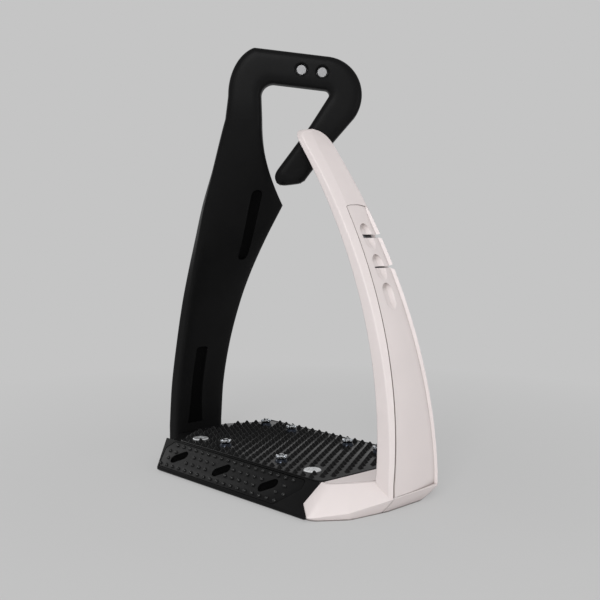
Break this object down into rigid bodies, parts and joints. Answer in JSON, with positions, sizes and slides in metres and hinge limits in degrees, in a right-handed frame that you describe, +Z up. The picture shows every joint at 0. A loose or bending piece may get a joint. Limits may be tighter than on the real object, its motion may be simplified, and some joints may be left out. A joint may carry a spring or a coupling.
{
  "type": "stirrup iron",
  "caption": "Safety riding stirrup with a rigid black inner branch, a turned hook eye, a studded grip tread and a flexible pale outer arm that springs outwards to free the foot.",
  "frame": {"origin": "on the floor under the middle of the tread", "axes": "+Z up to the eye, +X from the inner branch to the outer arm, +Y towards the heel side of the tread"},
  "size_m": [0.1419, 0.082, 0.1826],
  "materials": {
    "black_composite": "fine matte moulding",
    "black_rubber": "satin moulded grip",
    "white_composite": "warm off-white, fine satin",
    "polished_steel": "polished",
    "plain_steel": "plain",
    "spring_steel": "tempered"
  },
  "bodies": {
    "frame": {"base_frame": "black_composite", "bottom_plate": "black_composite", "bottom_screws": "plain_steel", "steel_core": "plain_steel", "core_screws": "plain_steel", "inner_branch": "black_composite", "eye_pins": "polished_steel", "tread_pad": "black_rubber", "tread_studs": "polished_steel", "stud_nuts": "plain_steel", "tread_screws": "polished_steel", "screw_nuts": "plain_steel", "front_grip_pad": "black_rubber", "rear_grip_pad": "black_rubber", "outer_foot": "white_composite", "foot_panel": "white_composite", "spring_leaf": "spring_steel", "leaf_clamp": "plain_steel", "clamp_screws": "plain_steel"},
    "outer_arm": {"arm_shell": "white_composite", "arm_panel": "white_composite"}
  },
  "joints": [
    {"name": "arm_flex", "type": "hinge", "parent": "frame", "child": "outer_arm", "pos_m": [0.07175, 0, 0.028], "axis": [0, 1, 0], "range_deg": [0, 30], "stiffness_Nm_per_rad": 16, "deforming": ["spring_leaf"]}
  ]
}
